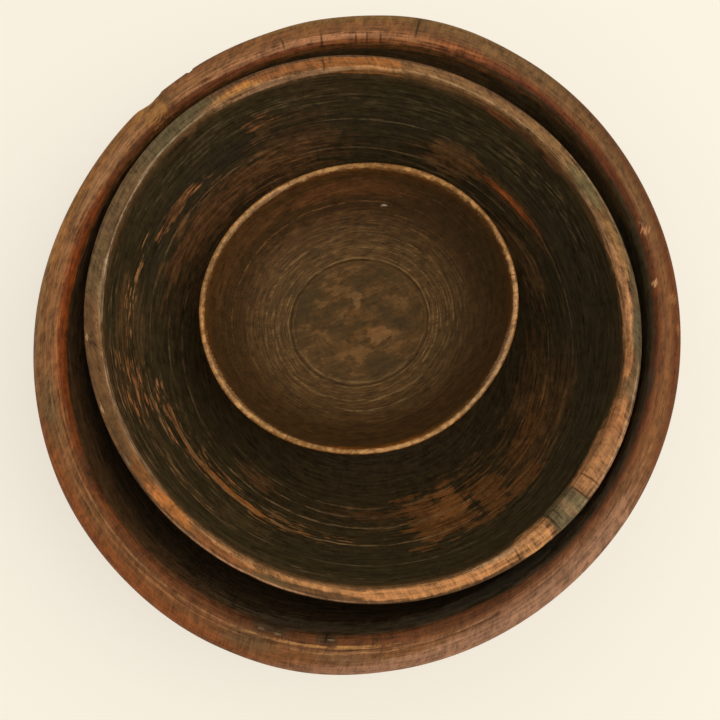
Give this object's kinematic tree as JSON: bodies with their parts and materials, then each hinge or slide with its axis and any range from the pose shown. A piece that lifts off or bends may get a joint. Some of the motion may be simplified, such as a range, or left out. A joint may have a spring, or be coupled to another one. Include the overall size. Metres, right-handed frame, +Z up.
{
  "type": "dough bowl",
  "caption": "Nest of oval turned wooden dough bowls, each standing inside the next larger one and lifting out, with flat feet, worn rims and tool-marked insides.",
  "frame": {"origin": "centre of the large bowl's foot, on the table", "axes": "+Z up, +X to the right and +Y to the back as the picture shows the nest"},
  "size_m": [0.4854, 0.5076, 0.165],
  "materials": {
    "large_wood": "worn red-brown stain, satin from handling",
    "middle_wood": "green-black stain worn through to orange wood",
    "small_wood": "bare brown wood, dull, with a polished tan rim"
  },
  "bodies": {
    "large": {"large_bowl": "large_wood"},
    "middle": {"middle_bowl": "middle_wood"},
    "small": {"small_bowl": "small_wood"}
  },
  "joints": [
    {"name": "middle_lift", "type": "slide", "parent": "large", "child": "middle", "axis": [0, 0, 1], "range_m": [0, 0.16]},
    {"name": "small_lift", "type": "slide", "parent": "middle", "child": "small", "axis": [0, 0, 1], "range_m": [0, 0.14]}
  ]
}
